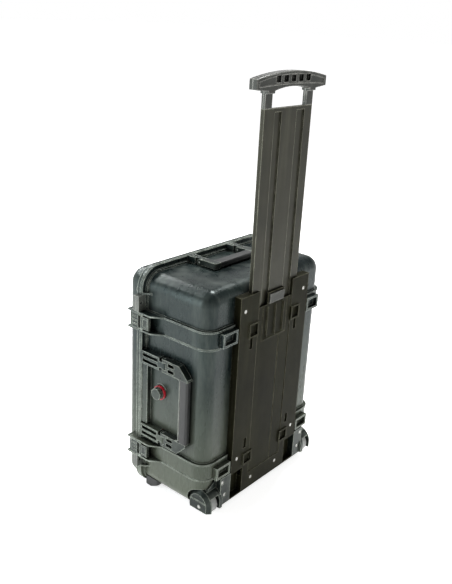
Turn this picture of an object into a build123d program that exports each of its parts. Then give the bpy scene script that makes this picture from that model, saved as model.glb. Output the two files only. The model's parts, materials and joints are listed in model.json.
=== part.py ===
"""Wheeled hard equipment case, standing on its wheels with the pull handle raised.

Frame: millimetres, +Z up. X = 0 is the middle of the case, +X is the side with the latches and
-X the side with the hinge. +Y is the back, where the pull handle slides, and -Y is the lid.
Z = 0 is the floor.
"""
from build123d import *
import os
from math import cos, pi, sin

os.makedirs("parts", exist_ok=True)

# Case body
HALF_WIDTH = 208.0      # outer wall, either side of the middle
BODY_BOTTOM = 9.0
BODY_TOP = 550.0
BACK_Y = 112.0          # outer face of the back wall
PARTING_Y = -83.0       # rim of the base
RIM_GAP = 0.4           # closed lid to base
FRONT_Y = -135.0        # outer face of the lid
WALL = 4.0
CORNER_R = 35.0         # corners of the outline seen along Y
BACK_R = 30.0           # edge between the walls and the back
LID_R = 20.0            # edge between the walls and the lid's face
FLANGE = 14.0           # how far the rim stands out
FLANGE_T = 8.0
FLANGE_BOTTOM = 3.0     # the rim is cut short above the floor
RIM_STEP = 4.0          # raised step behind the flange
RIM_STEP_T = 5.0
SIDE_REACH = 234.0      # outermost latch, lug and hinge barrel
LID_RIM_Y = PARTING_Y - RIM_GAP
LID_PANEL = (140.0, 400.0)      # shallow panels sunk in the lid's face
LID_PANEL_X = 88.0
LID_PANEL_R = 18.0
LID_PANEL_DEPTH = 1.2
PANEL_MIDDLE_Z = (BODY_BOTTOM + BODY_TOP) / 2
EAR_Y = -109.0          # latch ears on the lid reach this far
GASKET = (1.0, 5.0)     # gasket, from and to, outside the walls
GASKET_T = 4.0

# Reinforcing bands, latch guards and padlock lugs
BANDS = ((422.0, 467.0), (93.0, 138.0))      # (bottom, top) of each band
BAND_PROUD = 6.0
BAND_FACE_X = HALF_WIDTH + BAND_PROUD
BAND_END_X = 130.0
BEAD = 1.5              # raised edges of a band
BEAD_W = 4.0
GUARD_START_Y = -10.0   # a guard plate rises from the band here
GUARD_FULL_Y = -39.0
GUARD_PLATE = 4.0
LUG_SPANS = ((467.0, 503.0, 486.0), (62.0, 93.0, 79.0))      # (bottom, top, hole)
LUG_HOLE_X = 225.0
PADLOCK_R = 4.0
GUSSET_Z = (505.0, 416.0, 139.0, 57.0)
GUSSET_T = 4.0
GUSSET_BACK_Y = -58.0

# Stacking feet on the back, level with the rails
STACK_X = (131.0, 179.0)
STACK_Z = ((427.0, 460.0), (93.0, 124.0))
STACK_RIM = 5.5
STACK_DEPTH = 11.0

# Trolley frame on the back
FRAME_HALF = 127.0
FRAME_BOTTOM = 15.0
FRAME_TOP = 529.0
FRAME_FACE_Y = 130.0
PLATE_T = 2.0
CHANNEL_HALF = 85.0
LIP_HALF = 62.0
LIP_BACK_Y = 124.7
CHANNEL_END_Z = 60.0
COVER_TOP = 403.0
LATCH_PANEL_TOP = 490.0
LATCH_PANEL_HALF = 45.0
TAB_HALF = 26.0
TAB_Z = (491.5, 514.0)
TAB_CLEAR = 0.5
COVER_GROOVE_X = -22.0
COVER_GAP = 0.9
LOOPS = ((62, 95, 425, 460), (55, 88, 92, 124))       # raised rings (X from, X to, Z from, Z to)
SLOTS = ((78, 88, 397, 424), (77, 87, 139, 165))
FRAME_SCREWS = ((109, 494), (-109, 494), (108, 119.5), (-108, 119.5), (49, 41), (-49, 41))
BRACKET_SCREWS = ((157, 77), (-157, 77), (147, 40), (-147, 40))
SCREW_TIP_Y = 113.0
SCREW_SEAT_Y = FRAME_FACE_Y - 3.0
SCREW_TOP_Y = FRAME_FACE_Y - 0.6
HEAD_R = 4.0
COUNTERBORE_R = 5.2
SHANK_R = 2.5

# Pull handle
PANEL_HALF = 84.0
PANEL_Y = (114.6, 124.2)
PANEL_MID_Y = 119.4
PANEL_BOTTOM = 452.0
PANEL_TOP = 922.0
ARM_INNER = 60.0
GRIP_HALF = 121.0
ARM_TOP = 952.0
GRIP_UNDER = 957.0
GRIP_END_TOP = 982.0
GRIP_APEX = 995.0
GRIP_Y = (109.5, 131.0)
GRIP_SPLIT_Y = PANEL_MID_Y
GRIP_RECESSES = (50.0, 24.0, -2.0, -28.0, -54.0)
GRIP_FIELD_DEPTH = 1.6
FIELD_HALF = GRIP_HALF - 8
FIELD_LOW = GRIP_UNDER + 9
FIELD_DIP = GRIP_UNDER + 13
FIELD_HIGH = GRIP_END_TOP - 6
FIELD_APEX = GRIP_APEX - 6
POCKET_HALF = 8.5
POCKET_DEPTH = 8.0
POCKET_Z = (973.0, 987.0)
GRIP_SCREWS = ((-100.0, 969.0), (100.0, 969.0))
CHANNELS = ((25, 49), (-57, -29))
TENON_X = (64.0, 80.0)
TENON_Y = (117.4, 121.4)
TENON_TOP = 948.0
BOLT_Z = 468.0
BOLT_R = 3.2

# Wheels
WHEEL_Y = 105.0
WHEEL_R = 26.0
WHEEL_X = (171.0, 195.0)
HUB_R = 18.0
BEARING_R = 8.0
BEARING_W = 6.0
BEARING_FIT = 0.02
AXLE_R = 4.0
NOTCH_X = 160.0
NOTCH_GAP = 0.7         # round the fender
FENDER_X = 208.0
FENDER_Y = 101.0        # middle of the arch
FENDER_Z = 32.0
FENDER_R = 34.0
FENDER_SLOPE = 9.0
RIDGE_Z = (39.0, 42.0)
RIDGE_HALF = 23.0
BRACKET_X = 163.0       # outer edge of the plate behind the frame's foot
BRACKET_TOP = 90.0
WEB_T = 4.0
WEB_Z = 60.0
SLOT_X = (169.3, 196.7)
FOOT_X = (148.0, 205.0)
FOOT_Y = (-75.0, -32.0)
FOOT_FLAT_Y = -57.0     # the underside slopes up from here
FOOT_SLOPE_Z = 13.0
FOOT_TOP = 26.0

# Carrying handles: pin height over the wall, overall height and half thickness of the tongue
TOP_PIN = (-38.0, 8.0, 16.0)      # (Y, pin over the wall, height)
TOP_ARM_X = 69.0
SIDE_PIN = (-4.0, 11.0, 18.0)
SIDE_ARM_Z = (356.0, 166.0)
TOP_ARM_W = 20.0
SIDE_ARM_W = 32.0
PIN_R = 2.0
PIN_FIT = 0.05
KNUCKLE_R = 7.0
SLOT_PLACES = (-0.22, 0.22)   # middle of each slot, as a share of the width
SLOT_SHARE = 0.24
ARM_SLOTS = (15.0, 34.0)      # slots along a side handle's arm, from the pin
SIDE_GAP = 0.5
TOP_REACH = 26.0          # pin to the near side of the grip
TOP_GRIP_W = 24.0
SIDE_GRIP_REACH = 52.0
SIDE_GRIP_W = 23.0
GRIP_CORE = 3.5           # rubber over the grip's core

# Hinge on the -X side
HINGE_X = -228.4
HINGE_R = 5.6
HINGE_SPANS = ((425.0, 495.0), (80.0, 150.0))
HINGE_END = 20.0

# Latches
LATCH_PIN = (229.0, -99.0)
LATCH_GAP = 0.5
CLAW_X = (224.4, 229.2)
LEVER_PIN = (231.7, -68.0)
LEVER_R = 2.0
LEVER_TIP_Y = -44.5

# Purge valve
VALVE_Y = -26.0
VALVE_Z = 275.0
VALVE_RING_R = 17.0
KNOB_R = 14.5
KNOB_X = (HALF_WIDTH + 5.0, HALF_WIDTH + 17.0)
KNOB_SCALLOPS = 12

SIDES = ((1, "latch_side"), (-1, "hinge_side"))


def across(y):
    """Plane facing -Y at the given Y, with local x along X and local y along Z."""
    return Plane.XZ.offset(-y)


def slab(low, high, mode=Mode.ADD):
    """Box between two opposite corners, given in any order."""
    ends = [sorted(pair) for pair in zip(low, high)]
    with Locations(tuple(sum(pair) / 2 for pair in ends)):
        Box(*[pair[1] - pair[0] for pair in ends], mode=mode)


def rod(start, end, radius, mode=Mode.ADD):
    """Cylinder from one point to another."""
    run = Vector(*end) - Vector(*start)
    with Locations(Plane(origin=start, z_dir=run)):
        Cylinder(radius, run.length, align=(Align.CENTER, Align.CENTER, Align.MIN), mode=mode)


def rounded_block(y_low, y_high, grow, corner, mode=Mode.ADD):
    """The case outline, grown by an amount, carried from one Y to another."""
    bottom = max(BODY_BOTTOM - grow, FLANGE_BOTTOM)
    top = BODY_TOP + grow
    with BuildSketch(across(y_low)) as outline:
        with Locations((0, (bottom + top) / 2)):
            RectangleRounded(2 * (HALF_WIDTH + grow), top - bottom, corner)
    extrude(outline.sketch, amount=y_low - y_high, mode=mode)


def save(builder, name):
    """Label a finished piece and write it."""
    builder.part.label = name
    export_step(builder.part, f"parts/{name}.step")


def arch(x, middle, radius, low):
    """Arch seen along X: a round top on straight sides, from (Y, Z) of its round's middle."""
    with BuildSketch(Plane.YZ.offset(x)) as profile:
        with Locations(middle):
            Circle(radius)
        with Locations((middle[0], (low + middle[1]) / 2)):
            Rectangle(2 * radius, middle[1] - low)
        with Locations((middle[0], low - radius)):
            Rectangle(4 * radius, 2 * radius, mode=Mode.SUBTRACT)
    return profile.sketch


def span(side, inner, outer):
    """Lowest and highest X of a stretch on either side."""
    return sorted((side * inner, side * outer))


def wheel_notch(side, grow, mode):
    """Arched corner of the body that is cut away for a wheel."""
    low_x, high_x = span(side, NOTCH_X - grow, SIDE_REACH)
    notch = arch(low_x, (FENDER_Y, FENDER_Z), FENDER_R + NOTCH_GAP + grow, -FENDER_R)
    extrude(notch, amount=high_x - low_x, mode=mode)


# ---------------------------------------------------------------- carrying handle hinges
def top_plane(x):
    """Foot of a top handle pin: local x along the pin, y along the arm, z out of the wall."""
    return Plane(origin=(x, TOP_PIN[0], BODY_TOP), x_dir=(1, 0, 0), z_dir=(0, 0, 1))


def side_plane(z):
    """Foot of a side handle pin: local x along the pin, y along the arm, z out of the wall."""
    return Plane(origin=(HALF_WIDTH, SIDE_PIN[0], z), x_dir=(0, 0, -1), z_dir=(1, 0, 0))


def profile_plane(plane, x):
    """Plane across the pin at a local x, with its own x along the arm and y out of the wall."""
    return Plane(origin=plane.from_local_coords((x, 0, 0)), x_dir=plane.y_dir, z_dir=plane.x_dir)


def bracket(plane, pin, width, back):
    """Ribbed block on the wall that narrows to a tongue round the pin."""
    pin_up, height = pin[1], pin[2]
    tongue = width / 2
    with BuildSketch(profile_plane(plane, -width / 2)) as block:
        with Locations((-(back + 12) / 2, height / 2)):
            Rectangle(back - 12, height)
    extrude(block.sketch, amount=width)
    with BuildSketch(profile_plane(plane, -tongue / 2)) as nose:
        with Locations((-7, pin_up / 2)):
            Rectangle(28, pin_up)
        with Locations((-10, height / 2)):
            Rectangle(20, height)
        with Locations((0, pin_up)):
            Circle(KNUCKLE_R)
    extrude(nose.sketch, amount=tongue)


def bracket_cuts(plane, pin, width, back):
    """Pin bore, the clearance round the knuckle and the grooves along the block."""
    pin_up, height = pin[1], pin[2]
    tongue = width / 2
    with BuildSketch(profile_plane(plane, -width / 2 - 1)) as bore:
        with Locations((0, pin_up)):
            Circle(PIN_R + PIN_FIT)
    extrude(bore.sketch, amount=width + 2, mode=Mode.SUBTRACT)
    with BuildSketch(profile_plane(plane, -tongue / 2 - 1)) as corner:
        with Locations((5.5, height - 2)):
            Rectangle(11, 2 * (height - pin_up) - 4)
        with Locations((0, pin_up)):
            Circle(KNUCKLE_R, mode=Mode.SUBTRACT)
    extrude(corner.sketch, amount=tongue + 2, mode=Mode.SUBTRACT)
    ladder_slots(plane, height, width, -back + 6, -17)


def ladder_slots(plane, height, width, start, end):
    """Two long slots side by side, open outwards, between two places along the arm."""
    for place in SLOT_PLACES:
        middle = place * width
        with BuildSketch(profile_plane(plane, middle - SLOT_SHARE * width / 2)) as pocket:
            with Locations(((start + end) / 2, height)):
                Rectangle(end - start, height * 1.1)
        extrude(pocket.sketch, amount=SLOT_SHARE * width, mode=Mode.SUBTRACT)


def arm(plane, pin, width, reach):
    """Handle arm: two prongs round the bracket's tongue, then a solid block out to the grip."""
    pin_up, height = pin[1], pin[2]
    prong = width / 4 - SIDE_GAP
    for start in (-width / 2, width / 4 + SIDE_GAP):
        with BuildSketch(profile_plane(plane, start)) as cheek:
            with Locations((0, pin_up)):
                Circle(KNUCKLE_R)
            with Locations((5, pin_up)):
                Rectangle(10, 2 * KNUCKLE_R)
            with Locations((0, pin_up)):
                Circle(PIN_R + PIN_FIT, mode=Mode.SUBTRACT)
        extrude(cheek.sketch, amount=prong)
    with BuildSketch(profile_plane(plane, -width / 2)) as block:
        with Locations(((reach + 8.5) / 2, (height + 2) / 2)):
            Rectangle(reach - 8.5, height - 2)
    extrude(block.sketch, amount=width)


# ---------------------------------------------------------------- base of the case
with BuildPart() as cavity:
    rounded_block(PARTING_Y, BACK_Y - WALL, -WALL, CORNER_R - WALL)
    fillet(cavity.faces().sort_by(Axis.Y)[-1].edges(), BACK_R - WALL)
    for side, word in SIDES:
        wheel_notch(side, WALL, Mode.SUBTRACT)


def rim(start, direction):
    """Flange and the step behind it, going away from the parting line along Y."""
    ends = sorted((start, start + direction * FLANGE_T))
    rounded_block(*ends, FLANGE, CORNER_R + FLANGE)
    ends = sorted((start, start + direction * (FLANGE_T + RIM_STEP_T)))
    rounded_block(*ends, RIM_STEP, CORNER_R + RIM_STEP)


def band(side, low, high, proud):
    """Band along a side wall and round the back corner."""
    with BuildSketch(Plane.XY.offset(low)) as outline:
        with Locations((side * (BAND_END_X + HALF_WIDTH + proud) / 2, (PARTING_Y + BACK_Y + proud) / 2)):
            Rectangle(HALF_WIDTH + proud - BAND_END_X, BACK_Y + proud - PARTING_Y)
        outer = outline.vertices().group_by(Axis.Y)[-1].sort_by(Axis.X)[-1 if side > 0 else 0]
        fillet(outer, BACK_R + proud)
    extrude(outline.sketch, amount=high - low)


def gusset(side, rim_y, back_y, low):
    """Triangular web between the flange and the wall."""
    with BuildSketch(Plane.XY.offset(low)) as web:
        with BuildLine():
            Polyline((side * (HALF_WIDTH - 1), rim_y), (side * (HALF_WIDTH + FLANGE), rim_y),
                     (side * HALF_WIDTH, back_y), (side * (HALF_WIDTH - 1), back_y), close=True)
        make_face()
    extrude(web.sketch, amount=GUSSET_T)


with BuildPart() as base_shell:
    rounded_block(PARTING_Y, BACK_Y, 0, CORNER_R)
    fillet(base_shell.faces().sort_by(Axis.Y)[-1].edges(), BACK_R)
    rim(PARTING_Y, 1)
    for z in GUSSET_Z:
        for side, word in SIDES:
            gusset(side, PARTING_Y + FLANGE_T, GUSSET_BACK_Y, z)
    for low, high in BANDS:
        for side, word in SIDES:
            band(side, low, high, BAND_PROUD)
            for edge in (low, high - BEAD_W):
                band(side, edge, edge + BEAD_W, BAND_PROUD + BEAD)
        for edge in (low, high - GUARD_PLATE):
            slab((BAND_FACE_X, PARTING_Y - 1, edge),
                 (SIDE_REACH, GUARD_START_Y, edge + GUARD_PLATE), Mode.SUBTRACT)
    for low, high, hole in LUG_SPANS:
        slab((BAND_FACE_X, PARTING_Y - 1, low), (SIDE_REACH, PARTING_Y + FLANGE_T + 1, high),
             Mode.SUBTRACT)
    # Plate beside the rim, between the side handle's brackets
    slab((HALF_WIDTH - 2, PARTING_Y, 184), (HALF_WIDTH + 12, GUSSET_BACK_Y, 338))
    for side, word in SIDES:
        wheel_notch(side, 0, Mode.SUBTRACT)
    add(cavity.part, mode=Mode.SUBTRACT)
    rod((HALF_WIDTH - WALL - 1, VALVE_Y, VALVE_Z), (HALF_WIDTH + 1, VALVE_Y, VALVE_Z), 8,
        Mode.SUBTRACT)
save(base_shell, "base_shell")

with BuildPart() as latch_guards:
    for low, high in BANDS:
        for edge in (low, high - GUARD_PLATE):
            with BuildSketch(Plane.XY.offset(edge)) as plate:
                with BuildLine():
                    Polyline((BAND_FACE_X, GUARD_START_Y), (SIDE_REACH, GUARD_FULL_Y),
                             (SIDE_REACH, PARTING_Y), (BAND_FACE_X, PARTING_Y), close=True)
                make_face()
            extrude(plate.sketch, amount=GUARD_PLATE)
save(latch_guards, "latch_guards")

with BuildPart() as base_padlock_lugs:
    for low, high, hole in LUG_SPANS:
        slab((BAND_FACE_X, PARTING_Y, low), (SIDE_REACH, PARTING_Y + FLANGE_T, high))
        rod((LUG_HOLE_X, PARTING_Y - 1, hole), (LUG_HOLE_X, PARTING_Y + FLANGE_T + 1, hole),
            PADLOCK_R, Mode.SUBTRACT)
save(base_padlock_lugs, "base_padlock_lugs")

with BuildPart() as stacking_feet:
    for low, high in STACK_Z:
        for side, word in SIDES:
            slab((side * STACK_X[0], BACK_Y + BAND_PROUD, low), (side * STACK_X[1], FRAME_FACE_Y, high))
            slab((side * (STACK_X[0] + STACK_RIM), FRAME_FACE_Y - STACK_DEPTH, low + STACK_RIM),
                 (side * (STACK_X[1] - STACK_RIM), FRAME_FACE_Y + 1, high - STACK_RIM),
                 Mode.SUBTRACT)
    add(base_shell.part, mode=Mode.SUBTRACT)
save(stacking_feet, "stacking_feet")

with BuildPart() as top_handle_brackets:
    for x in (TOP_ARM_X, -TOP_ARM_X):
        bracket(top_plane(x), TOP_PIN, TOP_ARM_W, TOP_PIN[0] - PARTING_Y - FLANGE_T)
        bracket_cuts(top_plane(x), TOP_PIN, TOP_ARM_W, TOP_PIN[0] - PARTING_Y - FLANGE_T)
    add(base_shell.part, mode=Mode.SUBTRACT)
save(top_handle_brackets, "top_handle_brackets")

with BuildPart() as side_handle_brackets:
    for z in SIDE_ARM_Z:
        bracket(side_plane(z), SIDE_PIN, SIDE_ARM_W, SIDE_PIN[0] - PARTING_Y - FLANGE_T)
        bracket_cuts(side_plane(z), SIDE_PIN, SIDE_ARM_W, SIDE_PIN[0] - PARTING_Y - FLANGE_T)
    add(base_shell.part, mode=Mode.SUBTRACT)
save(side_handle_brackets, "side_handle_brackets")

with BuildPart() as base_hinge_knuckles:
    for low, high in HINGE_SPANS:
        for start, end in ((low, low + HINGE_END), (high - HINGE_END, high)):
            rod((HINGE_X, PARTING_Y, start), (HINGE_X, PARTING_Y, end), HINGE_R)
            slab((HINGE_X, PARTING_Y, start), (-HALF_WIDTH - FLANGE, PARTING_Y + HINGE_R, end))
            rod((HINGE_X, PARTING_Y, start), (HINGE_X, PARTING_Y, end), PIN_R + PIN_FIT,
                Mode.SUBTRACT)
save(base_hinge_knuckles, "base_hinge_knuckles")

with BuildPart() as rubber_feet:
    for side, word in SIDES:
        low_x, high_x = span(side, *FOOT_X)
        with BuildSketch(Plane.YZ.offset(low_x)) as profile:
            with BuildLine():
                Polyline((FOOT_Y[0], FOOT_TOP), (FOOT_Y[0], 0), (FOOT_FLAT_Y, 0),
                         (FOOT_Y[1], FOOT_SLOPE_Z), (FOOT_Y[1], FOOT_TOP), close=True)
            make_face()
        extrude(profile.sketch, amount=high_x - low_x)
    fillet(rubber_feet.edges().filter_by(Axis.Z), 5)
    fillet(rubber_feet.faces().sort_by(Axis.Z)[:2].edges(), 2)
    rounded_block(PARTING_Y, BACK_Y, 0, CORNER_R, Mode.SUBTRACT)
    rounded_block(PARTING_Y, PARTING_Y + FLANGE_T + RIM_STEP_T, RIM_STEP, CORNER_R + RIM_STEP,
                  Mode.SUBTRACT)
save(rubber_feet, "rubber_feet")

# ---------------------------------------------------------------- lid
with BuildPart() as lid_cavity:
    rounded_block(FRONT_Y + WALL, LID_RIM_Y, -WALL, CORNER_R - WALL)
    fillet(lid_cavity.faces().sort_by(Axis.Y)[0].edges(), LID_R - WALL)

with BuildPart() as lid_gasket:
    rounded_block(LID_RIM_Y - GASKET_T, LID_RIM_Y, GASKET[1], CORNER_R + GASKET[1])
    rounded_block(LID_RIM_Y - GASKET_T, LID_RIM_Y, GASKET[0], CORNER_R + GASKET[0], Mode.SUBTRACT)
save(lid_gasket, "lid_gasket")

with BuildPart() as lid_shell:
    rounded_block(FRONT_Y, LID_RIM_Y, 0, CORNER_R)
    fillet(lid_shell.faces().sort_by(Axis.Y)[0].edges(), LID_R)
    rim(LID_RIM_Y, -1)
    for z in GUSSET_Z:
        for side, word in SIDES:
            gusset(side, LID_RIM_Y - FLANGE_T, EAR_Y, z)
    for low, high in BANDS:
        for start in (low, high - GUARD_PLATE):
            slab((HALF_WIDTH - 2, EAR_Y, start), (SIDE_REACH, LID_RIM_Y, start + GUARD_PLATE))
        rod((*LATCH_PIN, low - 1), (*LATCH_PIN, high + 1), PIN_R + 0.02, Mode.SUBTRACT)
    for low, high, hole in LUG_SPANS:
        slab((BAND_FACE_X, LID_RIM_Y - FLANGE_T - 1, low), (SIDE_REACH, LID_RIM_Y + 1, high),
             Mode.SUBTRACT)
    with BuildSketch(across(FRONT_Y)) as panels:
        with Locations((-LID_PANEL_X, PANEL_MIDDLE_Z), (LID_PANEL_X, PANEL_MIDDLE_Z)):
            RectangleRounded(LID_PANEL[0], LID_PANEL[1], LID_PANEL_R)
    extrude(panels.sketch, amount=-LID_PANEL_DEPTH, mode=Mode.SUBTRACT)
    add(lid_cavity.part, mode=Mode.SUBTRACT)
    add(lid_gasket.part, mode=Mode.SUBTRACT)
save(lid_shell, "lid_shell")

with BuildPart() as lid_padlock_lugs:
    for low, high, hole in LUG_SPANS:
        slab((BAND_FACE_X, LID_RIM_Y - FLANGE_T, low), (SIDE_REACH, LID_RIM_Y, high))
        rod((LUG_HOLE_X, LID_RIM_Y - FLANGE_T - 1, hole), (LUG_HOLE_X, LID_RIM_Y + 1, hole),
            PADLOCK_R, Mode.SUBTRACT)
save(lid_padlock_lugs, "lid_padlock_lugs")

with BuildPart() as lid_hinge_knuckles:
    for low, high in HINGE_SPANS:
        start, end = low + HINGE_END + SIDE_GAP, high - HINGE_END - SIDE_GAP
        rod((HINGE_X, PARTING_Y, start), (HINGE_X, PARTING_Y, end), HINGE_R)
        slab((HINGE_X, LID_RIM_Y - HINGE_R, start), (-HALF_WIDTH - FLANGE, LID_RIM_Y, end))
        rod((HINGE_X, PARTING_Y, start), (HINGE_X, PARTING_Y, end), PIN_R + PIN_FIT,
            Mode.SUBTRACT)
save(lid_hinge_knuckles, "lid_hinge_knuckles")

with BuildPart() as hinge_pins:
    for low, high in HINGE_SPANS:
        rod((HINGE_X, PARTING_Y, low), (HINGE_X, PARTING_Y, high), PIN_R)
save(hinge_pins, "hinge_pins")

# ---------------------------------------------------------------- latches
with BuildPart() as latch_pins:
    for low, high in BANDS:
        rod((*LATCH_PIN, low), (*LATCH_PIN, high), PIN_R)
save(latch_pins, "latch_pins")

for (low, high), word in zip(BANDS, ("upper", "lower")):
    claw_low = low + GUARD_PLATE + LATCH_GAP
    claw_high = high - GUARD_PLATE - LATCH_GAP
    lever_low = claw_low + 3.5
    lever_high = claw_high - 3.5
    with BuildPart() as claw:
        rod((*LATCH_PIN, claw_low), (*LATCH_PIN, claw_high), 4.8)
        slab((CLAW_X[0], LATCH_PIN[1], claw_low), (CLAW_X[1], -46.5, claw_high))
        slab((CLAW_X[0], -96, claw_low), (SIDE_REACH - 0.3, -76, claw_high))
        for start in (claw_low, lever_high + SIDE_GAP):
            slab((CLAW_X[0], -77, start), (SIDE_REACH - 0.3, -62, start + 3))
        for x, y, radius in ((*LATCH_PIN, PIN_R + PIN_FIT), (*LEVER_PIN, 1.22)):
            rod((x, y, low), (x, y, high), radius, Mode.SUBTRACT)
        for step in (-1, 0, 1):
            middle = (low + high) / 2 + 9 * step
            slab((SIDE_REACH - 1.5, -93, middle - 1), (SIDE_REACH, -79, middle + 1), Mode.SUBTRACT)
    save(claw, f"{word}_latch_claw")

    with BuildPart() as lever_pin:
        rod((*LEVER_PIN, claw_low), (*LEVER_PIN, claw_high), 1.2)
    save(lever_pin, f"{word}_latch_lever_pin")

    with BuildPart() as lever:
        rod((*LEVER_PIN, lever_low), (*LEVER_PIN, lever_high), LEVER_R)
        slab((LEVER_PIN[0] - LEVER_R, LEVER_PIN[1], lever_low),
             (LEVER_PIN[0] + LEVER_R, LEVER_TIP_Y, lever_high))
        rod((*LEVER_PIN, lever_low), (*LEVER_PIN, lever_high), 1.25, Mode.SUBTRACT)
        slab((LEVER_PIN[0] + 1.2, -62, lever_low + 5), (SIDE_REACH, -49, lever_high - 5),
             Mode.SUBTRACT)
    save(lever, f"{word}_latch_lever")

# ---------------------------------------------------------------- carrying handles
with BuildPart() as top_handle_pins:
    for x in (TOP_ARM_X, -TOP_ARM_X):
        centre = top_plane(x).from_local_coords((0, 0, TOP_PIN[1]))
        end = Vector(TOP_ARM_W / 2, 0, 0)
        rod(centre - end, centre + end, PIN_R)
save(top_handle_pins, "top_handle_pins")

with BuildPart() as side_handle_pins:
    for z in SIDE_ARM_Z:
        centre = side_plane(z).from_local_coords((0, 0, SIDE_PIN[1]))
        end = Vector(0, 0, SIDE_ARM_W / 2)
        rod(centre - end, centre + end, PIN_R)
save(side_handle_pins, "side_handle_pins")

with BuildPart() as top_handle_frame:
    for x in (TOP_ARM_X, -TOP_ARM_X):
        arm(top_plane(x), TOP_PIN, TOP_ARM_W, TOP_REACH + TOP_GRIP_W)
    bar_y = TOP_PIN[0] + TOP_REACH
    bar_end = TOP_ARM_X + TOP_ARM_W / 2
    slab((-bar_end, bar_y + GRIP_CORE, BODY_TOP + 2 + GRIP_CORE),
         (bar_end, bar_y + TOP_GRIP_W - GRIP_CORE, BODY_TOP + TOP_PIN[2] - GRIP_CORE))
    far_corners = top_handle_frame.edges().filter_by(Axis.Z).group_by(Axis.Y)[-1].sort_by(Axis.X)
    fillet([far_corners[0], far_corners[-1]], 6)
save(top_handle_frame, "top_handle_frame")

with BuildPart() as top_handle_grip:
    grip_end = TOP_ARM_X - TOP_ARM_W / 2
    slab((-grip_end, bar_y, BODY_TOP + 2), (grip_end, bar_y + TOP_GRIP_W, BODY_TOP + TOP_PIN[2]))
    fillet(top_handle_grip.edges().filter_by(Axis.X), 4)
    slab((-grip_end, bar_y + GRIP_CORE, BODY_TOP + 2 + GRIP_CORE),
         (grip_end, bar_y + TOP_GRIP_W - GRIP_CORE, BODY_TOP + TOP_PIN[2] - GRIP_CORE),
         Mode.SUBTRACT)
save(top_handle_grip, "top_handle_grip")

with BuildPart() as side_handle_frame:
    for z in SIDE_ARM_Z:
        arm(side_plane(z), SIDE_PIN, SIDE_ARM_W, SIDE_GRIP_REACH + SIDE_GRIP_W)
        ladder_slots(side_plane(z), SIDE_PIN[2], SIDE_ARM_W, *ARM_SLOTS)
    grip_y = SIDE_PIN[0] + SIDE_GRIP_REACH
    outer_top = SIDE_ARM_Z[0] + SIDE_ARM_W / 2
    outer_bottom = SIDE_ARM_Z[1] - SIDE_ARM_W / 2
    slab((HALF_WIDTH + 2 + GRIP_CORE, grip_y + GRIP_CORE, outer_bottom),
         (HALF_WIDTH + SIDE_PIN[2] - GRIP_CORE, grip_y + SIDE_GRIP_W - GRIP_CORE, outer_top))
    far_corners = side_handle_frame.edges().filter_by(Axis.X).group_by(Axis.Y)[-1].sort_by(Axis.Z)
    chamfer([far_corners[0], far_corners[-1]], 26)
save(side_handle_frame, "side_handle_frame")

with BuildPart() as side_handle_grip:
    grip_low = SIDE_ARM_Z[1] + SIDE_ARM_W / 2
    grip_high = SIDE_ARM_Z[0] - SIDE_ARM_W / 2
    slab((HALF_WIDTH + 2, grip_y, grip_low),
         (HALF_WIDTH + SIDE_PIN[2], grip_y + SIDE_GRIP_W, grip_high))
    fillet(side_handle_grip.edges().filter_by(Axis.Z), 5)
    slab((HALF_WIDTH + 2 + GRIP_CORE, grip_y + GRIP_CORE, grip_low),
         (HALF_WIDTH + SIDE_PIN[2] - GRIP_CORE, grip_y + SIDE_GRIP_W - GRIP_CORE, grip_high),
         Mode.SUBTRACT)
save(side_handle_grip, "side_handle_grip")

# ---------------------------------------------------------------- trolley frame
def screw(x, z):
    """Screw driven into the back, its head below the face."""
    rod((x, SCREW_TIP_Y, z), (x, SCREW_SEAT_Y, z), SHANK_R)
    rod((x, SCREW_SEAT_Y, z), (x, SCREW_TOP_Y, z), HEAD_R)


def screw_hole(x, z):
    """Counterbored hole that a screw is driven through."""
    rod((x, SCREW_TIP_Y, z), (x, SCREW_SEAT_Y, z), SHANK_R + PIN_FIT, Mode.SUBTRACT)
    rod((x, SCREW_SEAT_Y, z), (x, FRAME_FACE_Y + 1, z), COUNTERBORE_R, Mode.SUBTRACT)


with BuildPart() as trolley_frame:
    slab((-FRAME_HALF, BACK_Y, FRAME_BOTTOM), (FRAME_HALF, BACK_Y + PLATE_T, FRAME_TOP))
    slab((-CHANNEL_HALF, BACK_Y, FRAME_BOTTOM), (CHANNEL_HALF, FRAME_FACE_Y, CHANNEL_END_Z))
    for side, word in SIDES:
        slab((side * CHANNEL_HALF, BACK_Y, FRAME_BOTTOM),
             (side * FRAME_HALF, FRAME_FACE_Y, FRAME_TOP))
        slab((side * LIP_HALF, LIP_BACK_Y, CHANNEL_END_Z),
             (side * CHANNEL_HALF, FRAME_FACE_Y, FRAME_TOP))
        slab((side * CHANNEL_HALF, BACK_Y + PLATE_T, 18), (side * (FRAME_HALF + 1), 140, 85),
             Mode.SUBTRACT)
        for x_low, x_high, z_low, z_high in SLOTS:
            slab((side * x_low, LIP_BACK_Y + 0.8, z_low), (side * x_high, 140, z_high),
                 Mode.SUBTRACT)
        for x_low, x_high, z_low, z_high in LOOPS:
            slab((side * x_low, FRAME_FACE_Y - 0.8, z_low), (side * x_high, FRAME_FACE_Y + 3, z_high))
            slab((side * (x_low + 4), FRAME_FACE_Y - 3, z_low + 4),
                 (side * (x_high - 4), FRAME_FACE_Y + 4, z_high - 4), Mode.SUBTRACT)
    for x, z in FRAME_SCREWS:
        screw_hole(x, z)
save(trolley_frame, "trolley_frame")

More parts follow.
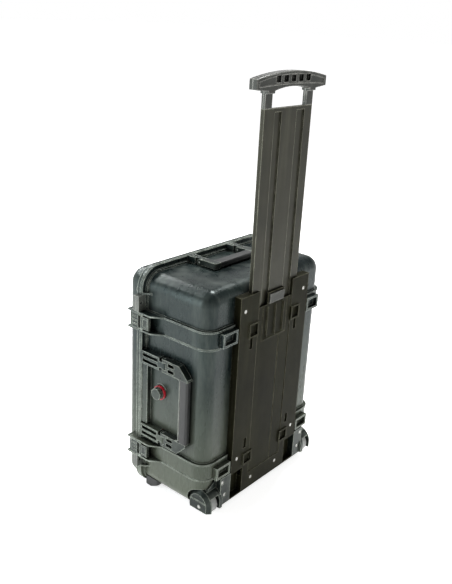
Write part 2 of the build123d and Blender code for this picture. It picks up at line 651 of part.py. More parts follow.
with BuildPart() as trolley_cover:
    cover_half = LIP_HALF - COVER_GAP
    slab((-cover_half, LIP_BACK_Y + 0.3, CHANNEL_END_Z), (cover_half, FRAME_FACE_Y - 1, COVER_TOP))
    for side, word in SIDES:
        slab((side * (LATCH_PANEL_HALF + COVER_GAP), LIP_BACK_Y + 0.3, COVER_TOP),
             (side * cover_half, FRAME_FACE_Y - 1, LATCH_PANEL_TOP))
    slab((COVER_GROOVE_X - 1, FRAME_FACE_Y - 2.4, CHANNEL_END_Z),
         (COVER_GROOVE_X + 1, FRAME_FACE_Y, COVER_TOP), Mode.SUBTRACT)
save(trolley_cover, "trolley_cover")

with BuildPart() as latch_panel:
    slab((-LATCH_PANEL_HALF, LIP_BACK_Y + 0.3, COVER_TOP),
         (LATCH_PANEL_HALF, FRAME_FACE_Y - 0.5, LATCH_PANEL_TOP))
    guide = TAB_HALF + TAB_CLEAR
    slab((-guide - 4, LIP_BACK_Y + 0.3, LATCH_PANEL_TOP - 3),
         (guide + 4, FRAME_FACE_Y - 0.5, TAB_Z[1] + TAB_CLEAR + 4))
    slab((-guide, LIP_BACK_Y, TAB_Z[0] - TAB_CLEAR), (guide, 140, TAB_Z[1] + TAB_CLEAR),
         Mode.SUBTRACT)
    for x in (-30, 0, 30):
        slab((x - 2, FRAME_FACE_Y - 1, COVER_TOP + 6), (x + 2, FRAME_FACE_Y + 2.5, 484))
    slab((-40, FRAME_FACE_Y - 1, COVER_TOP), (40, FRAME_FACE_Y + 1.5, COVER_TOP + 4))
save(latch_panel, "latch_panel")

with BuildPart() as release_tab:
    slab((-TAB_HALF, LIP_BACK_Y + 2.8, TAB_Z[0]), (TAB_HALF, FRAME_FACE_Y + 3.5, TAB_Z[1]))
    fillet(release_tab.faces().sort_by(Axis.Y)[-1].edges(), 2)
save(release_tab, "release_tab")

with BuildPart() as frame_screws:
    for x, z in FRAME_SCREWS:
        screw(x, z)
        slab((x - 3, SCREW_TOP_Y - 1, z - 0.6), (x + 3, SCREW_TOP_Y + 1, z + 0.6), Mode.SUBTRACT)
save(frame_screws, "frame_screws")

# ---------------------------------------------------------------- pull handle
with BuildPart() as pull_panel:
    slab((-PANEL_HALF, PANEL_Y[0], PANEL_BOTTOM), (PANEL_HALF, PANEL_Y[1], PANEL_TOP))
    for side, word in SIDES:
        slab((side * TENON_X[0], TENON_Y[0], PANEL_TOP), (side * TENON_X[1], TENON_Y[1], TENON_TOP))
        rod((side * (PANEL_HALF - 14), PANEL_MID_Y, BOLT_Z), (side * (PANEL_HALF + 1), PANEL_MID_Y, BOLT_Z), BOLT_R,
            Mode.SUBTRACT)
    for start, end in CHANNELS:
        slab((start, PANEL_Y[1] - 3, PANEL_BOTTOM + 30), (end, PANEL_Y[1] + 1, PANEL_TOP - 8),
             Mode.SUBTRACT)
save(pull_panel, "pull_panel")

with BuildPart() as lock_bolts:
    for side, word in SIDES:
        rod((side * (PANEL_HALF - 14), PANEL_MID_Y, BOLT_Z), (side * PANEL_HALF, PANEL_MID_Y, BOLT_Z), BOLT_R)
save(lock_bolts, "lock_bolts")


def grip_half(y_low, y_high):
    """Half of the arched grip with its two arms, split across Y."""
    with BuildSketch(across(y_low)) as outline:
        with BuildLine():
            Line((GRIP_HALF, GRIP_END_TOP), (GRIP_HALF, GRIP_UNDER + 4))
            Line((GRIP_HALF, GRIP_UNDER + 4), (PANEL_HALF, GRIP_UNDER))
            Polyline((PANEL_HALF, GRIP_UNDER), (PANEL_HALF, PANEL_TOP), (ARM_INNER, PANEL_TOP),
                     (ARM_INNER, GRIP_UNDER))
            ThreePointArc((ARM_INNER, GRIP_UNDER), (0, GRIP_UNDER + 7), (-ARM_INNER, GRIP_UNDER))
            Polyline((-ARM_INNER, GRIP_UNDER), (-ARM_INNER, PANEL_TOP), (-PANEL_HALF, PANEL_TOP),
                     (-PANEL_HALF, GRIP_UNDER), (-GRIP_HALF, GRIP_UNDER + 4),
                     (-GRIP_HALF, GRIP_END_TOP))
            ThreePointArc((-GRIP_HALF, GRIP_END_TOP), (0, GRIP_APEX), (GRIP_HALF, GRIP_END_TOP))
        make_face()
    extrude(outline.sketch, amount=y_low - y_high)
    # The arms are thinner than the arch, level with the panel
    for side, word in SIDES:
        for low, high in ((GRIP_Y[0] - 1, PANEL_Y[0]), (PANEL_Y[1], GRIP_Y[1] + 1)):
            slab((side * (ARM_INNER - 1), low, PANEL_TOP - 1), (side * (PANEL_HALF + 1), high, ARM_TOP),
                 Mode.SUBTRACT)
        slab((side * TENON_X[0], TENON_Y[0], PANEL_TOP - 1), (side * TENON_X[1], TENON_Y[1], TENON_TOP),
             Mode.SUBTRACT)


with BuildPart() as grip_front:
    grip_half(GRIP_SPLIT_Y, GRIP_Y[1])
    with BuildSketch(across(GRIP_Y[1] - GRIP_FIELD_DEPTH)) as field:
        with BuildLine():
            Line((FIELD_HALF, FIELD_LOW), (FIELD_HALF, FIELD_HIGH))
            ThreePointArc((FIELD_HALF, FIELD_HIGH), (0, FIELD_APEX), (-FIELD_HALF, FIELD_HIGH))
            Line((-FIELD_HALF, FIELD_HIGH), (-FIELD_HALF, FIELD_LOW))
            ThreePointArc((-FIELD_HALF, FIELD_LOW), (0, FIELD_DIP), (FIELD_HALF, FIELD_LOW))
        make_face()
    extrude(field.sketch, amount=-GRIP_FIELD_DEPTH, mode=Mode.SUBTRACT)
    for x in GRIP_RECESSES:
        slab((x - POCKET_HALF, GRIP_Y[1] - POCKET_DEPTH, POCKET_Z[0]),
             (x + POCKET_HALF, GRIP_Y[1] + 1, POCKET_Z[1]), Mode.SUBTRACT)
    fillet(grip_front.faces().sort_by(Axis.Y)[-1].outer_wire().edges(), 2.5)
save(grip_front, "grip_front")

with BuildPart() as grip_rear:
    grip_half(GRIP_Y[0], GRIP_SPLIT_Y)
    fillet(grip_rear.faces().sort_by(Axis.Y)[0].outer_wire().edges(), 2.5)
    for x, z in GRIP_SCREWS:
        rod((x, GRIP_Y[0] - 1, z), (x, GRIP_SPLIT_Y + 1, z), SHANK_R + PIN_FIT, Mode.SUBTRACT)
save(grip_rear, "grip_rear")

with BuildPart() as grip_screws:
    for x, z in GRIP_SCREWS:
        rod((x, GRIP_Y[0] + 0.5, z), (x, GRIP_SPLIT_Y, z), SHANK_R)
save(grip_screws, "grip_screws")

# ---------------------------------------------------------------- wheels and their housings
for side, word in SIDES:
    low_x, high_x = span(side, NOTCH_X, FENDER_X)
    slot_low, slot_high = span(side, *SLOT_X)
    with BuildPart() as wheel_housing:
        extrude(arch(low_x, (FENDER_Y, FENDER_Z), FENDER_R, FRAME_BOTTOM), amount=high_x - low_x)
        outer_face = wheel_housing.faces().sort_by(Axis.X)[-1 if side > 0 else 0]
        chamfer(outer_face.edges().filter_by(GeomType.CIRCLE), FENDER_SLOPE)
        slab((side * (FENDER_X - 1), FENDER_Y - RIDGE_HALF, RIDGE_Z[0]),
             (side * (FENDER_X + 1), FENDER_Y + RIDGE_HALF, RIDGE_Z[1]))
        slab((side * (FRAME_HALF + 1), BACK_Y, FRAME_BOTTOM), (side * BRACKET_X, FRAME_FACE_Y, BRACKET_TOP))
        with BuildSketch(across(BACK_Y)) as web:
            with BuildLine():
                Polyline((side * NOTCH_X, WEB_Z), (side * (FENDER_X - FENDER_SLOPE), WEB_Z),
                         (side * NOTCH_X, BRACKET_TOP), close=True)
            make_face()
        extrude(web.sketch, amount=-WEB_T)
        extrude(arch(slot_low, (WHEEL_Y, WHEEL_R + 8), WHEEL_R + 2.5, -5), amount=slot_high - slot_low,
                mode=Mode.SUBTRACT)
        slab((side * SLOT_X[0], WHEEL_Y, -5), (side * SLOT_X[1], 140, 50), Mode.SUBTRACT)
        rod((side * (NOTCH_X - 1), WHEEL_Y, WHEEL_R), (side * (FENDER_X + 2), WHEEL_Y, WHEEL_R),
            AXLE_R + 0.02, Mode.SUBTRACT)
        for x, z in BRACKET_SCREWS:
            screw_hole(x, z)
    save(wheel_housing, f"wheel_housing_{word}")

    with BuildPart() as axle:
        rod((side * NOTCH_X, WHEEL_Y, WHEEL_R), (side * (FENDER_X + 1.5), WHEEL_Y, WHEEL_R), AXLE_R)
    save(axle, f"wheel_axle_{word}")

    tread_low, tread_high = span(side, *WHEEL_X)
    with BuildPart() as tyre:
        rod((tread_low, WHEEL_Y, WHEEL_R), (tread_high, WHEEL_Y, WHEEL_R), WHEEL_R)
        fillet(tyre.edges().filter_by(GeomType.CIRCLE), 4)
        rod((tread_low, WHEEL_Y, WHEEL_R), (tread_high, WHEEL_Y, WHEEL_R), HUB_R, Mode.SUBTRACT)
    save(tyre, f"wheel_tyre_{word}")

    with BuildPart() as hub:
        rod((tread_low + 1, WHEEL_Y, WHEEL_R), (tread_high - 1, WHEEL_Y, WHEEL_R), HUB_R)
        rod((tread_low, WHEEL_Y, WHEEL_R), (tread_high, WHEEL_Y, WHEEL_R), BEARING_R + BEARING_FIT,
            Mode.SUBTRACT)
    save(hub, f"wheel_hub_{word}")

    with BuildPart() as bearings:
        for start in (tread_low + 1, tread_high - 1 - BEARING_W):
            ends = ((start, WHEEL_Y, WHEEL_R), (start + BEARING_W, WHEEL_Y, WHEEL_R))
            rod(*ends, BEARING_R)
            rod(*ends, AXLE_R + PIN_FIT, Mode.SUBTRACT)
    save(bearings, f"wheel_bearings_{word}")

with BuildPart() as bracket_screws:
    for x, z in BRACKET_SCREWS:
        screw(x, z)
        slab((x - 3, SCREW_TOP_Y - 1, z - 0.6), (x + 3, SCREW_TOP_Y + 1, z + 0.6), Mode.SUBTRACT)
save(bracket_screws, "bracket_screws")

# ---------------------------------------------------------------- purge valve
def valve_rod(x_low, x_high, radius, mode=Mode.ADD):
    """Cylinder on the valve's axis."""
    rod((x_low, VALVE_Y, VALVE_Z), (x_high, VALVE_Y, VALVE_Z), radius, mode)


with BuildPart() as valve_body:
    valve_rod(HALF_WIDTH - WALL - 3, HALF_WIDTH, 8)
    valve_rod(HALF_WIDTH, HALF_WIDTH + 4.5, 13.5)
    valve_rod(HALF_WIDTH, KNOB_X[1] - 3, 3)
save(valve_body, "valve_body")

with BuildPart() as valve_ring:
    valve_rod(HALF_WIDTH, HALF_WIDTH + 6, VALVE_RING_R)
    valve_rod(HALF_WIDTH, HALF_WIDTH + 6, KNOB_R + 0.5, Mode.SUBTRACT)
save(valve_ring, "valve_ring")

with BuildPart() as valve_knob:
    valve_rod(*KNOB_X, KNOB_R)
    fillet(valve_knob.edges().filter_by(GeomType.CIRCLE).sort_by(Axis.X)[-1], 1.5)
    for step in range(KNOB_SCALLOPS):
        angle = 2 * pi * step / KNOB_SCALLOPS
        offset = (0, (KNOB_R + 1.2) * cos(angle), (KNOB_R + 1.2) * sin(angle))
        start = Vector(KNOB_X[0] + 3, VALVE_Y, VALVE_Z) + Vector(*offset)
        rod(start, start + Vector(20, 0, 0), 2.4, Mode.SUBTRACT)
    valve_rod(KNOB_X[0] - 1, KNOB_X[1] - 2.6, 3 + PIN_FIT, Mode.SUBTRACT)
save(valve_knob, "valve_knob")
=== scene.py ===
"""Looks of the wheeled hard equipment case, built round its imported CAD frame.

Metres, +Z up. +X is the side with the latches, +Y the back with the pull handle, -Y the lid.
"""
import json
import math

import bmesh
import bpy
from mathutils import Matrix, Vector


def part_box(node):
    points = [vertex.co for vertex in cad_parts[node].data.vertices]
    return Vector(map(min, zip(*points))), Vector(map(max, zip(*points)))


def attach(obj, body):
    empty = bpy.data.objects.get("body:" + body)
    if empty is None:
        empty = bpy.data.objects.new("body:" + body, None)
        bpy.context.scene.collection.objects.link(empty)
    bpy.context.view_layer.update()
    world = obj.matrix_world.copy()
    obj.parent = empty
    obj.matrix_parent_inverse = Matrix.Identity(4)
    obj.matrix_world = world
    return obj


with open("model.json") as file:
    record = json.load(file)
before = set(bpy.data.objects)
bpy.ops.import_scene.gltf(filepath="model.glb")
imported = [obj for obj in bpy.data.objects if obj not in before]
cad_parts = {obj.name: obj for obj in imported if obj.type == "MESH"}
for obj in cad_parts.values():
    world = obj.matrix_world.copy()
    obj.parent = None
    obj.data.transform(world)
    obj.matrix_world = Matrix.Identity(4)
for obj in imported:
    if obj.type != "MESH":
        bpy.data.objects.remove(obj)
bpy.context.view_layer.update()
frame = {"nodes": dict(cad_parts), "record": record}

MM = 0.001
FLOOR_GLOW = 0.75
FLOOR_HALF = 30.0
CAMERA_PLACE = (1.2946, 1.036, 1.1108)
CAMERA_TURN = (50.85, 21.01, -3.08)   # yaw, pitch and roll, in degrees
CAMERA_LENS = 45.9
HORIZON_LIGHT, ZENITH_LIGHT = 1.0, 0.3
FADE_FROM, FADE_TO = 0.06, 0.45       # rise over the horizon where the sky dims


# ---------------------------------------------------------------- camera, light and floor
def add_camera():
    """Camera above the latch-side back corner of the case, held a little off level."""
    yaw, pitch, roll = (math.radians(angle) for angle in CAMERA_TURN)
    ahead = Vector((-math.sin(yaw) * math.cos(pitch), -math.cos(yaw) * math.cos(pitch),
                    -math.sin(pitch)))
    right = ahead.cross(Vector((0, 0, 1))).normalized()
    down = ahead.cross(right)
    rolled_right = math.cos(roll) * right + math.sin(roll) * down
    rolled_down = math.cos(roll) * down - math.sin(roll) * right
    data = bpy.data.cameras.new("camera")
    data.sensor_width = 36.0
    data.lens = CAMERA_LENS
    data.clip_end = 50
    camera = bpy.data.objects.new("camera", data)
    turn = Matrix((rolled_right, -rolled_down, -ahead)).transposed()
    camera.matrix_world = Matrix.Translation(CAMERA_PLACE) @ turn.to_4x4()
    bpy.context.scene.collection.objects.link(camera)
    bpy.context.scene.camera = camera


def add_area_light(name, place, target, size, watts, colour=(1, 1, 1)):
    """Soft rectangular light aimed at a point."""
    data = bpy.data.lights.new(name, "AREA")
    data.shape = "RECTANGLE"
    data.size, data.size_y = size
    data.energy = watts
    data.color = colour
    light = bpy.data.objects.new(name, data)
    light.location = place
    aim = Vector(target) - Vector(place)
    light.rotation_euler = aim.to_track_quat("-Z", "Y").to_euler()
    bpy.context.scene.collection.objects.link(light)


def add_floor():
    """Wide pale floor that fades into the backdrop."""
    half = FLOOR_HALF
    mesh = bpy.data.meshes.new("floor")
    mesh.from_pydata([(-half, -half, 0), (half, -half, 0), (half, half, 0), (-half, half, 0)], [],
                     [(0, 1, 2, 3)])
    floor = bpy.data.objects.new("floor", mesh)
    bpy.context.scene.collection.objects.link(floor)
    material = bpy.data.materials.new("floor")
    material.use_nodes = True
    shader = material.node_tree.nodes["Principled BSDF"]
    shader.inputs["Base Color"].default_value = (0.95, 0.95, 0.95, 1)
    shader.inputs["Roughness"].default_value = 0.9
    shader.inputs["Emission Color"].default_value = (1, 1, 1, 1)
    shader.inputs["Emission Strength"].default_value = FLOOR_GLOW
    mesh.materials.append(material)


def add_world(horizon, zenith):
    """White surroundings, bright at the horizon and dimmer overhead."""
    world = bpy.data.worlds.new("studio")
    world.use_nodes = True
    tree = world.node_tree
    background = tree.nodes["Background"]
    background.inputs["Color"].default_value = (1, 1, 1, 1)
    split = tree.nodes.new("ShaderNodeSeparateXYZ")
    tree.links.new(tree.nodes.new("ShaderNodeTexCoord").outputs["Generated"], split.inputs["Vector"])
    fade = tree.nodes.new("ShaderNodeMapRange")
    for key, number in (("From Min", FADE_FROM), ("From Max", FADE_TO), ("To Min", horizon),
                        ("To Max", zenith)):
        fade.inputs[key].default_value = number
    tree.links.new(split.outputs["Z"], fade.inputs["Value"])
    tree.links.new(fade.outputs["Result"], background.inputs["Strength"])
    bpy.context.scene.world = world


bpy.context.scene.view_settings.view_transform = "Standard"
add_camera()
add_world(HORIZON_LIGHT, ZENITH_LIGHT)
add_floor()
add_area_light("key_top", (-0.9, -0.3, 2.3), (0, 0, 0.5), (0.5, 0.5), 44)
add_area_light("edge_strip", (0.1, -1.9, 2.0), (0.1, 0, 0.5), (2.2, 0.3), 60)
add_area_light("fill_back", (-1.4, 2.2, 1.5), (0, 0.1, 0.4), (0.35, 1.6), 6, (1, 0.95, 0.84))
add_area_light("fill_side", (2.3, -1.3, 0.9), (0.2, 0, 0.3), (0.3, 1.6), 26, (0.9, 0.97, 1))


# ---------------------------------------------------------------- materials
PAINTED_SHADE_REACH = 0.03             # painted shade: hollows deeper than about this are painted dark
# colour of the painted shade in hollows, crevices and gaps between parts
PAINTED_SHADE_TONE = (0.0015, 0.0018, 0.0018)
EDGE_WIDTH = 0.0028
EDGE_START, EDGE_FULL = 0.99, 0.9     # cosine of the turn where the pale edges, part wear and part painted highlight, begin and are full
PALE_FROM_HEIGHT = 0.36                  # colour pales from this height down to the floor
# colour that the lower part pales towards
LOWER_PALE_TONE = (0.15, 0.162, 0.115)


class Nodes:
    """Small helper that adds and joins shader nodes."""

    def __init__(self, name):
        self.material = bpy.data.materials.new(name)
        self.material.use_nodes = True
        self.tree = self.material.node_tree
        self.shader = self.tree.nodes["Principled BSDF"]
        self.place = self.add("ShaderNodeTexCoord").outputs["Object"]

    def add(self, kind, **settings):
        node = self.tree.nodes.new(kind)
        for key, value in settings.items():
            setattr(node, key, value)
        return node

    def join(self, source, target):
        self.tree.links.new(source, target)

    def noise(self, scale, detail=4.0, rough=0.55, stretch=(1, 1, 1)):
        """Noise value over the object's own space, with a stretch per axis."""
        mapping = self.add("ShaderNodeMapping")
        mapping.inputs["Scale"].default_value = stretch
        self.join(self.place, mapping.inputs["Vector"])
        noise = self.add("ShaderNodeTexNoise")
        noise.inputs["Scale"].default_value = scale
        noise.inputs["Detail"].default_value = detail
        noise.inputs["Roughness"].default_value = rough
        self.join(mapping.outputs["Vector"], noise.inputs["Vector"])
        return noise.outputs["Fac"]

    def ramp(self, value, low, high, start, end):
        """Map a value's range onto another, clamped."""
        node = self.add("ShaderNodeMapRange")
        for key, number in (("From Min", low), ("From Max", high), ("To Min", start),
                            ("To Max", end)):
            node.inputs[key].default_value = number
        self.join(value, node.inputs["Value"])
        return node.outputs["Result"]

    def mix(self, factor, first, second):
        """Blend two colours; either may be a colour or a socket."""
        node = self.add("ShaderNodeMix", data_type="RGBA")
        self.join(factor, node.inputs[0])
        for index, colour in ((6, first), (7, second)):
            if isinstance(colour, bpy.types.NodeSocket):
                self.join(colour, node.inputs[index])
            else:
                node.inputs[index].default_value = (*colour, 1)
        return node.outputs[2]

    def height(self):
        """Height over the floor, in metres."""
        split = self.add("ShaderNodeSeparateXYZ")
        self.join(self.place, split.inputs["Vector"])
        return split.outputs["Z"]

    def edges(self):
        """Mask of the sharp edges, where the surface turns within a short distance."""
        turned = self.add("ShaderNodeBevel", samples=4)
        turned.inputs["Radius"].default_value = EDGE_WIDTH
        dot = self.add("ShaderNodeVectorMath", operation="DOT_PRODUCT")
        self.join(turned.outputs["Normal"], dot.inputs[0])
        self.join(self.add("ShaderNodeNewGeometry").outputs["True Normal"], dot.inputs[1])
        return self.ramp(dot.outputs["Value"], EDGE_START, EDGE_FULL, 0, 1)

    def bump(self, layers):
        """Chain of bumps, each (height socket, strength, distance)."""
        normal = None
        for height, strength, distance in layers:
            node = self.add("ShaderNodeBump")
            node.inputs["Strength"].default_value = strength
            node.inputs["Distance"].default_value = distance
            self.join(height, node.inputs["Height"])
            if normal:
                self.join(normal, node.inputs["Normal"])
            normal = node.outputs["Normal"]
        self.join(normal, self.shader.inputs["Normal"])


def moulded_plastic(name, dark, light, wear_and_sheen_tone, rough=(0.3, 0.5), streak=(1, 1, 1), specular=0.5,
                    lower_paling=0.0, glare=(1, 1, 1)):
    """Textured black polypropylene: mottled tone, pale streaks as painted reflection, pale edges that
    are part scuffs and part painted highlight, paler towards the bottom, painted shade in hollows, and
    fine grain.
    """
    n = Nodes(name)
    cloud = n.noise(9, 5, 0.6)
    streaks = n.noise(26, 6, 0.65, streak)
    tone = n.mix(n.ramp(cloud, 0.35, 0.68, 0, 1), dark, light)
    # pale vertical streaks: painted reflection streaks mixed into the colour
    tone = n.mix(n.ramp(streaks, 0.5, 0.8, 0, 0.12), tone, wear_and_sheen_tone)
    # colour paler towards the bottom
    if lower_paling:
        tone = n.mix(n.ramp(n.height(), PALE_FROM_HEIGHT, 0, 0, lower_paling), tone, LOWER_PALE_TONE)
    # pale edges: partly scuffed wear, partly a painted highlight along every sharp edge
    scuffs_and_highlight = n.add("ShaderNodeMath", operation="MULTIPLY")
    n.join(n.edges(), scuffs_and_highlight.inputs[0])
    n.join(n.ramp(n.noise(45, 4, 0.6), 0.32, 0.6, 0.35, 1), scuffs_and_highlight.inputs[1])
    tone = n.mix(scuffs_and_highlight.outputs["Value"], tone, wear_and_sheen_tone)
    # painted shade: the colour is darkened where the surface is sheltered, standing in for shade in
    # recesses and gaps
    painted_shade_ao = n.add("ShaderNodeAmbientOcclusion", samples=4)
    painted_shade_ao.inputs["Distance"].default_value = PAINTED_SHADE_REACH
    painted_shade_mask = n.ramp(painted_shade_ao.outputs["AO"], 0.15, 0.75, 1, 0)
    tone = n.mix(painted_shade_mask, tone, PAINTED_SHADE_TONE)
    n.join(tone, n.shader.inputs["Base Color"])
    n.join(n.ramp(streaks, 0.3, 0.7, *rough), n.shader.inputs["Roughness"])
    n.shader.inputs["Specular IOR Level"].default_value = specular
    n.shader.inputs["Specular Tint"].default_value = (*glare, 1)
    n.bump([(n.noise(900, 3, 0.5), 0.3, 0.0004), (n.noise(60, 3, 0.5), 0.08, 0.002)])
    return n.material


def steel(name):
    """Brushed stainless pins and screws."""
    n = Nodes(name)
    fine = n.noise(700, 3, 0.5, (1, 1, 6))
    n.join(n.mix(n.ramp(fine, 0.3, 0.7, 0, 1), (0.34, 0.34, 0.32), (0.7, 0.7, 0.67)),
           n.shader.inputs["Base Color"])
    n.shader.inputs["Metallic"].default_value = 1.0
    n.join(n.ramp(fine, 0.3, 0.7, 0.22, 0.4), n.shader.inputs["Roughness"])
    n.bump([(fine, 0.15, 0.0002)])
    return n.material


def rubber(name, dark, light, rough=(0.6, 0.85)):
    """Soft rubber with a dusty bloom."""
    n = Nodes(name)
    dust = n.noise(40, 6, 0.7)
    n.join(n.mix(n.ramp(dust, 0.4, 0.7, 0, 1), dark, light), n.shader.inputs["Base Color"])
    n.join(n.ramp(dust, 0.3, 0.7, *rough), n.shader.inputs["Roughness"])
    n.bump([(n.noise(1200, 3, 0.6), 0.3, 0.0003), (dust, 0.1, 0.001)])
    return n.material


def glossy_red(name):
    """Clean red plastic ring with a slight orange-peel surface."""
    n = Nodes(name)
    cloud = n.noise(120, 3, 0.5)
    n.join(n.mix(n.ramp(cloud, 0.3, 0.7, 0, 1), (0.42, 0.01, 0.02), (0.62, 0.03, 0.05)),
           n.shader.inputs["Base Color"])
    n.join(n.ramp(cloud, 0.3, 0.7, 0.2, 0.34), n.shader.inputs["Roughness"])
    n.bump([(cloud, 0.1, 0.0003)])
    return n.material


# third colour of each plastic: pale tone for scuffed wear, painted edge highlights and painted
# reflection streaks
MATERIALS = {
    "shell": moulded_plastic("shell", (0.004, 0.008, 0.0085), (0.016, 0.024, 0.022),
                             (0.42, 0.46, 0.4), (0.2, 0.38), (1, 1, 0.25), 0.3, lower_paling=0.6,
                             glare=(0.84, 1, 0.97)),
    "trolley": moulded_plastic("trolley", (0.005, 0.005, 0.0018), (0.013, 0.013, 0.006),
                               (0.13, 0.128, 0.09), (0.38, 0.54), (1, 1, 0.08), 0.05,
                               glare=(1, 1, 0.8)),
    "pull_panel": moulded_plastic("pull_panel", (0.01, 0.01, 0.0055), (0.024, 0.0235, 0.015),
                                  (0.26, 0.26, 0.2), (0.32, 0.48), (1, 1, 0.06), 0.24,
                                  glare=(1, 1, 0.84)),
    "grip": moulded_plastic("grip", (0.008, 0.009, 0.008), (0.024, 0.025, 0.022), (0.4, 0.4, 0.37),
                            (0.3, 0.45), specular=0.32, glare=(0.96, 1, 0.92)),
    "hardware": moulded_plastic("hardware", (0.004, 0.0065, 0.006), (0.014, 0.019, 0.016),
                                (0.42, 0.46, 0.39), (0.24, 0.4), specular=0.34,
                                glare=(0.88, 1, 0.93)),
    "lug": moulded_plastic("lug", (0.05, 0.056, 0.05), (0.1, 0.108, 0.094), (0.4, 0.42, 0.37),
                           (0.28, 0.42)),
    "rubber": rubber("rubber", (0.006, 0.007, 0.007), (0.018, 0.02, 0.019), (0.34, 0.56)),
    "tyre": rubber("tyre", (0.2, 0.21, 0.2), (0.38, 0.39, 0.37), (0.35, 0.55)),
    "steel": steel("steel"),
    "valve_ring": glossy_red("valve_ring"),
}


# ---------------------------------------------------------------- CAD nodes
BEVELS = {"base_shell": 1.2, "lid_shell": 1.2, "latch_guards": 1.2, "stacking_feet": 1.2,
          "base_padlock_lugs": 1.0, "lid_padlock_lugs": 1.0, "side_handle_frame": 2.2,
          "side_handle_grip": 1.5, "top_handle_frame": 1.5, "top_handle_grip": 1.2,
          "side_handle_brackets": 1.0, "top_handle_brackets": 0.9, "wheel_housing_latch_side": 1.2,
          "wheel_housing_hinge_side": 1.2, "latch_panel": 0.7, "trolley_frame": 0.9, "pull_panel": 1.4,
          "grip_front": 1.0, "grip_rear": 1.0, "rubber_feet": 0.8, "frame_screws": 0.3,
          "bracket_screws": 0.3, "hinge_pins": 0.3, "release_tab": 0.5}
DEFAULT_BEVEL = 0.6


def soften(node, width):
    """Round a CAD node's hard edges with modifiers, so that they catch the light."""
    weld = node.modifiers.new("weld", "WELD")
    weld.merge_threshold = 0.00001
    flatten = node.modifiers.new("flatten", "DECIMATE")
    flatten.decimate_type = "DISSOLVE"
    flatten.angle_limit = math.radians(0.6)
    bevel = node.modifiers.new("bevel", "BEVEL")
    bevel.width = width * MM
    bevel.segments = 2
    bevel.limit_method = "ANGLE"
    bevel.angle_limit = math.radians(35)
    bevel.use_clamp_overlap = True
    normals = node.modifiers.new("normals", "WEIGHTED_NORMAL")
    normals.keep_sharp = False


def dress_nodes():
    """Give every CAD node its material and soft edges."""
    slots = {row["node"]: row["material_slot"] for row in frame["record"]["subparts"]}
    for name, node in frame["nodes"].items():
        for place in node.material_slots:
            place.material = MATERIALS[slots[name]]
        soften(node, BEVELS.get(name, DEFAULT_BEVEL))


dress_nodes()


# ---------------------------------------------------------------- detail pieces
RIM_CORNER = 49.0                # outline corners of the flange
FLANGE_T = 8.0
BEAD_R = 0.7
STEP_INSET = 10.0                # the lid's step lies inside its flange


def add_piece(name, mesh, body, slot):
    """Put a mesh in the scene as a piece of a body, in a slot's material."""
    piece = bpy.data.objects.new(name, mesh)
    bpy.context.scene.collection.objects.link(piece)
    mesh.materials.append(MATERIALS[slot])
    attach(piece, body)
    return piece


def tube_mesh(name, points, radius, closed, sides=8):
    """Round bead along a list of points."""
    shape = bmesh.new()
    rings = []
    count = len(points)
    for index, point in enumerate(points):
        before = points[(index - 1) % count] if closed or index else point
        after = points[(index + 1) % count] if closed or index < count - 1 else point
        along = (after - before).normalized()
        side = along.cross(Vector((0, 1, 0)))
        if side.length < 0.1:
            side = along.cross(Vector((1, 0, 0)))
        side.normalize()
        up = side.cross(along)
        ring = []
        for step in range(sides):
            angle = 2 * math.pi * step / sides
            offset = radius * (math.cos(angle) * side + math.sin(angle) * up)
            ring.append(shape.verts.new((point + offset) * MM))
        rings.append(ring)
    for index in range(count if closed else count - 1):
        first, second = rings[index], rings[(index + 1) % count]
        for step in range(sides):
            turn = (step + 1) % sides
            shape.faces.new((first[step], first[turn], second[turn], second[step]))
    if not closed:
        shape.faces.new(reversed(rings[0]))
        shape.faces.new(rings[-1])
    bmesh.ops.recalc_face_normals(shape, faces=shape.faces)
    for face in shape.faces:
        face.smooth = True
    mesh = bpy.data.meshes.new(name)
    shape.to_mesh(mesh)
    shape.free()
    return mesh


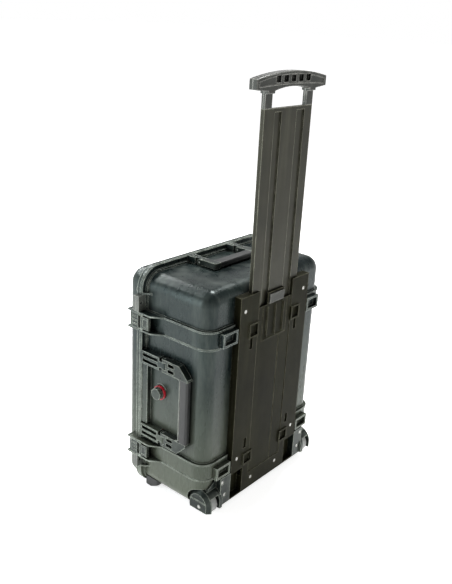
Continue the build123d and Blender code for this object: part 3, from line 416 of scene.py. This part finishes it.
def outline_points(low, high, y, inset, corner, steps=10):
    """Rounded rectangle in a plane across Y, from the box of a rim in millimetres."""
    points = []
    corner -= inset
    left, right = low.x + inset + corner, high.x - inset - corner
    bottom, top = low.z + inset + corner, high.z - inset - corner
    for middle_x, middle_z, start in ((right, top, 0), (left, top, 90), (left, bottom, 180),
                                      (right, bottom, 270)):
        for step in range(steps + 1):
            angle = math.radians(start + 90 * step / steps)
            points.append(Vector((middle_x + corner * math.cos(angle), y,
                                  middle_z + corner * math.sin(angle))))
    return points


def box_mm(node):
    """Box of a node, in millimetres."""
    low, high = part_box(node)
    return Vector(low) / MM, Vector(high) / MM


def add_rim_beads():
    """Thin beads round the two flanges and behind them."""
    low, high = box_mm("base_shell")
    parting = low.y
    for name, y, inset, body in (("base_rim_bead", parting + FLANGE_T - 1.6, 0.0, "base"),
                                 ("base_rim_groove_bead", parting + 3.0, 0.0, "base"),
                                 ("lid_rim_bead", parting - FLANGE_T + 1.2, 0.0, "lid"),
                                 ("lid_step_bead", parting - FLANGE_T - 4.6, STEP_INSET, "lid")):
        points = outline_points(low, high, y, inset, RIM_CORNER)
        add_piece(name, tube_mesh(name, points, BEAD_R, True), body, "shell")


def add_valve_mark():
    """Short raised arc beside the valve that shows which way it turns."""
    low, high = box_mm("valve_ring")
    middle = (low + high) / 2
    radius = (high.y - low.y) / 2 + 4
    points = []
    for step in range(13):
        angle = math.radians(35 + 7 * step)
        points.append(Vector((low.x + 0.2, middle.y + radius * math.cos(angle),
                              middle.z + radius * math.sin(angle))))
    add_piece("valve_turn_mark", tube_mesh("valve_turn_mark", points, 0.9, False), "base", "lug")


def add_grip_highlight_rim():
    """Rounded inner rim of the side handle, which bends into the arms at both ends; a pale bead in the
    lug colour, a painted highlight along the grip's inner edge.
    """
    low, high = box_mm("side_handle_grip")
    front, bend = low.y - 0.4, 9.0
    x = high.x - 2.2
    points = [Vector((x, front - bend, low.z - 1)), Vector((x, front - 3, low.z + 0.5)),
              Vector((x, front, low.z + 4)), Vector((x, front, high.z - 4)),
              Vector((x, front - 3, high.z - 0.5)), Vector((x, front - bend, high.z + 1))]
    # pale lug colour: a painted highlight on the rim
    add_piece("side_handle_highlight_rim", tube_mesh("side_handle_highlight_rim", points, 1.9, False), "side_handle",
              "lug")


add_rim_beads()
add_valve_mark()
add_grip_highlight_rim()
